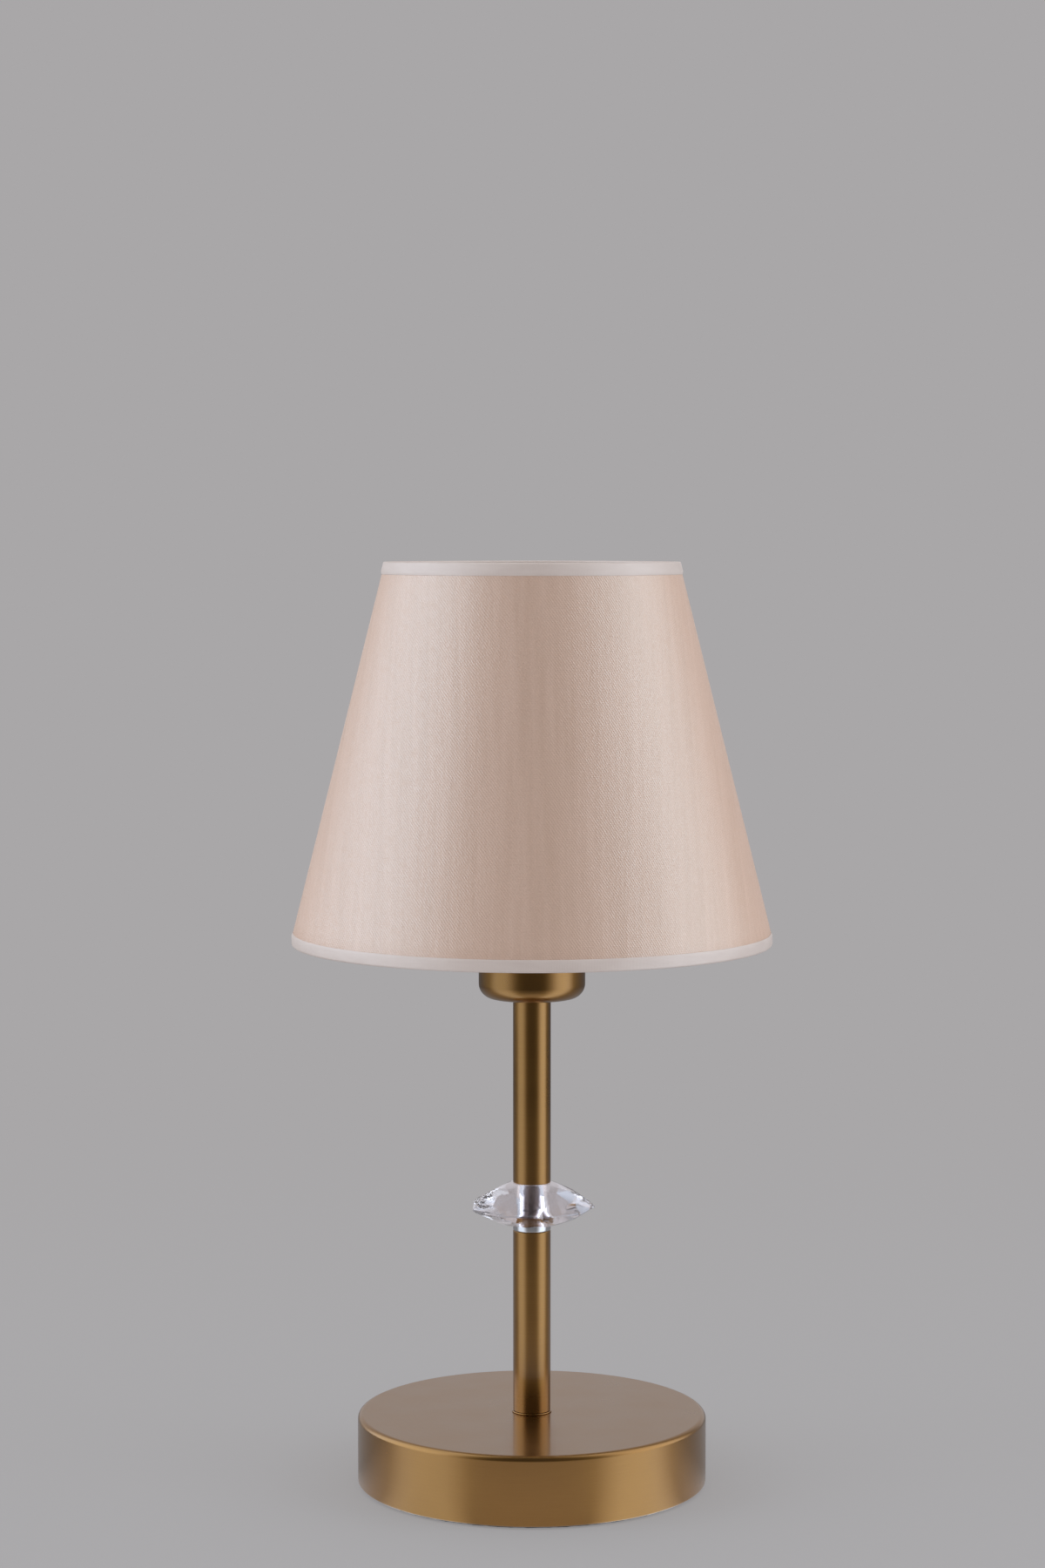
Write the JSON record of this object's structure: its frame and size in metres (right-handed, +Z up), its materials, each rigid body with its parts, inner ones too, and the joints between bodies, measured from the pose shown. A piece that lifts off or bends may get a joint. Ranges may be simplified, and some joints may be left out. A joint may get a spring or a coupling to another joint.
{
  "type": "table lamp with shade",
  "caption": "Table lamp with a weighted drum base, a slim tubular stem with a faceted clear bead, a screw lampholder and a tapered fabric shade.",
  "frame": {"origin": "centre of the felt face that the lamp stands on", "axes": "+Z up along the stem, +Y to the back, where the cord inlet and the shade's seam are"},
  "size_m": [0.1778, 0.1778, 0.3434],
  "materials": {
    "antique_brass": "satin antique brass lacquer on steel",
    "cast_iron": "raw sand casting",
    "zinc_steel": "bright zinc plating",
    "white_steel": "white powder coat on steel wire",
    "felt": "black pressed felt",
    "black_rubber": "matt moulded rubber",
    "nylon": "natural nylon",
    "chrome": "polished chrome plating",
    "clear_acrylic": "polished clear acrylic",
    "holder_plastic": "white heat-resistant thermoplastic",
    "contact_brass": "bare brass",
    "shell_metal": "rolled bare sheet",
    "shade_cloth": "champagne satin twill",
    "shade_lining": "white plastic shade film",
    "binding_tape": "cream binding tape",
    "opal_plastic": "opal diffuser",
    "bulb_plastic": "white moulded plastic",
    "bulb_metal": "nickel-plated thin sheet",
    "black_insulator": "glossy black insulator"
  },
  "bodies": {
    "lamp_stand": {"base_cover": "antique_brass", "ballast": "cast_iron", "base_washer": "zinc_steel", "lock_washer": "zinc_steel", "base_nut": "zinc_steel", "base_plate": "zinc_steel", "felt_pad": "felt", "cord_grommet": "black_rubber", "tie_rod": "zinc_steel", "stem_washer": "antique_brass", "lower_tube": "antique_brass", "upper_tube": "antique_brass", "centring_bushes": "nylon", "bead_collar": "chrome", "bead": "clear_acrylic", "holder_cup": "antique_brass", "holder_cap": "holder_plastic", "contact_block": "holder_plastic", "terminal_screws": "contact_brass", "centre_contact": "contact_brass", "screw_shell": "shell_metal", "holder_sleeve": "holder_plastic"},
    "shade": {"shade_fabric": "shade_cloth", "shade_liner": "shade_lining", "top_wire": "white_steel", "bottom_wire": "white_steel", "fitter_ring": "white_steel", "fitter_arms": "white_steel", "top_trim": "binding_tape", "bottom_trim": "binding_tape"},
    "shade_ring": {"shade_ring": "holder_plastic"},
    "bulb_contact": {"bulb_tip": "bulb_metal"},
    "bulb": {"bulb_insulator": "black_insulator", "bulb_cap": "bulb_metal", "bulb_housing": "bulb_plastic", "bulb_dome": "opal_plastic"}
  },
  "joints": [
    {"name": "shade_turn", "type": "hinge", "parent": "lamp_stand", "child": "shade", "pos_m": [0, 0, 0.211], "axis": [0, 0, 1], "continuous": true},
    {"name": "shade_ring_rise", "type": "slide", "parent": "lamp_stand", "child": "shade_ring", "axis": [0, 0, 1], "range_m": [0, 0.012]},
    {"name": "bulb_lift", "type": "slide", "parent": "lamp_stand", "child": "bulb_contact", "axis": [0, 0, 1], "range_m": [0, 0.01461]},
    {"name": "bulb_turn", "type": "hinge", "parent": "bulb_contact", "child": "bulb", "pos_m": [0, 0, 0.2063], "axis": [0, 0, 1], "range_deg": [0, 1440]}
  ],
  "couplings": [
    {"joint": "bulb_lift", "follows": "bulb_turn", "m_per_rad": 0.00057757}
  ]
}
